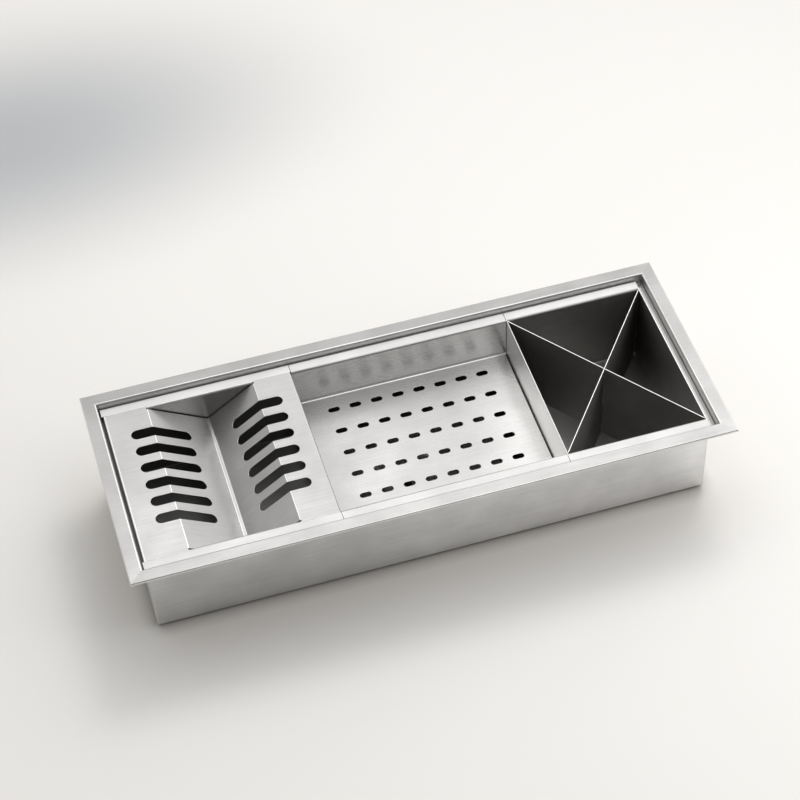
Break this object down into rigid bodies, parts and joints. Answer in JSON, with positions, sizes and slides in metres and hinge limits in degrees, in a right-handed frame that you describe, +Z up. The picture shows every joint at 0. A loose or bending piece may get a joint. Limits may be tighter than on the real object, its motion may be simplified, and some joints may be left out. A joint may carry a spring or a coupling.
{
  "type": "channel sink with lift-out fittings",
  "caption": "Long drop-in sink of brushed steel sheet with a flat rim, holding a lift-out plate rack, a perforated draining tray and a deep utensil box with a crossed divider.",
  "frame": {"origin": "middle of the underside, on the surface that the sink stands on", "axes": "+X along the sink towards the utensil box, +Y to the back, +Z up"},
  "size_m": [0.9, 0.36, 0.162],
  "materials": {
    "basin_steel": "brushed lengthwise",
    "rim_steel": "brushed lengthwise, edges eased",
    "rail_steel": "mill finish",
    "strainer_steel": "brushed",
    "rack_steel": "brushed lengthwise",
    "tray_steel": "brushed lengthwise",
    "box_steel": "brushed lengthwise",
    "divider_steel": "brushed",
    "pad_rubber": "matt",
    "seal_foam": "matt closed-cell foam"
  },
  "bodies": {
    "sink": {"trough": "basin_steel", "left_end_wall": "basin_steel", "right_end_wall": "basin_steel", "front_rim": "rim_steel", "back_rim": "rim_steel", "left_rim": "rim_steel", "right_rim": "rim_steel", "rim_seal": "seal_foam", "front_clip_rail": "rail_steel", "back_clip_rail": "rail_steel", "left_sound_pad": "pad_rubber", "right_sound_pad": "pad_rubber"},
    "strainer": {"drain_strainer": "strainer_steel"},
    "rack": {"rack_sheet": "rack_steel", "rack_front_rail": "rack_steel", "rack_back_rail": "rack_steel"},
    "tray": {"tray": "tray_steel"},
    "utensil_box": {"box_wrap": "box_steel", "box_left_side": "box_steel", "box_right_side": "box_steel"},
    "divider": {"divider_long": "divider_steel", "divider_notched": "divider_steel"}
  },
  "joints": [
    {"name": "rack_lift", "type": "slide", "parent": "sink", "child": "rack", "axis": [0, 0, 1], "range_m": [0, 0.08]},
    {"name": "tray_lift", "type": "slide", "parent": "sink", "child": "tray", "axis": [0, 0, 1], "range_m": [0, 0.095]},
    {"name": "box_lift", "type": "slide", "parent": "sink", "child": "utensil_box", "axis": [0, 0, 1], "range_m": [0, 0.165]},
    {"name": "divider_lift", "type": "slide", "parent": "utensil_box", "child": "divider", "axis": [0, 0, 1], "range_m": [0, 0.15]},
    {"name": "strainer_lift", "type": "slide", "parent": "sink", "child": "strainer", "axis": [0, 0, 1], "range_m": [0, 0.04]}
  ]
}
